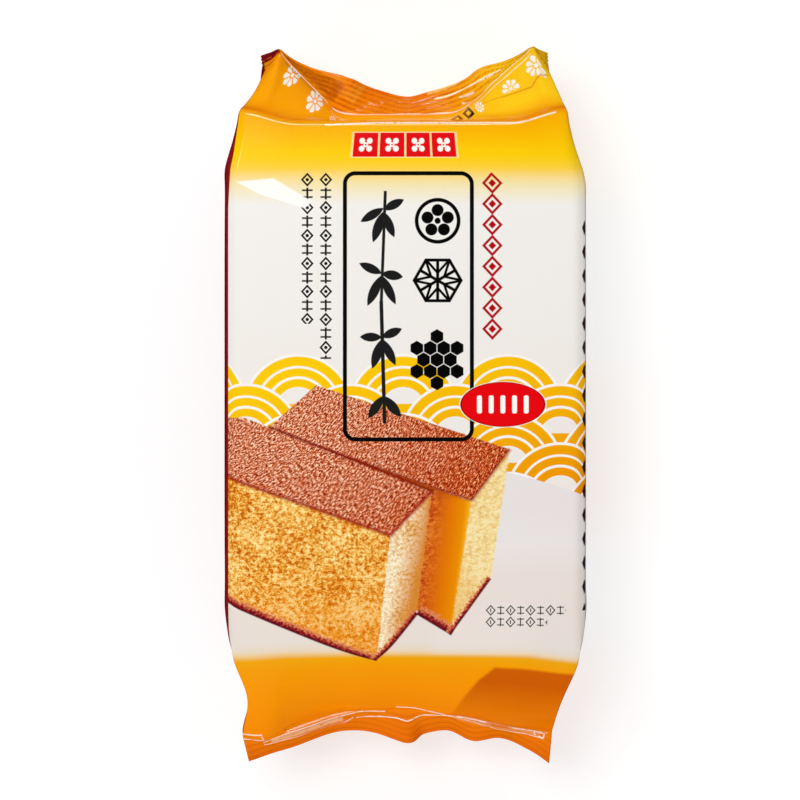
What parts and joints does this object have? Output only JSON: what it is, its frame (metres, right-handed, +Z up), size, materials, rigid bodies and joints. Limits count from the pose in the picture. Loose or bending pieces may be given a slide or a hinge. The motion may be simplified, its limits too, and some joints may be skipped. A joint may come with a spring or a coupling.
{
  "type": "pack of castella sponge cake",
  "caption": "Shut gusseted film pack of sliced castella sponge cake lying face up: a flat-sided block with tucked-in sides, folded end flaps and a crimped fin seal at each end.",
  "frame": {"origin": "middle of the bounding box's underside, which is the pack's flat back", "axes": "+Z up out of the printed face, +Y along the pack towards the top of its print, +X to the right of the print"},
  "size_m": [0.1078, 0.2152, 0.055],
  "materials": {
    "printed_film": "glossy printed film"
  },
  "bodies": {
    "root": {"cake_pack": "printed_film"}
  },
  "joints": []
}
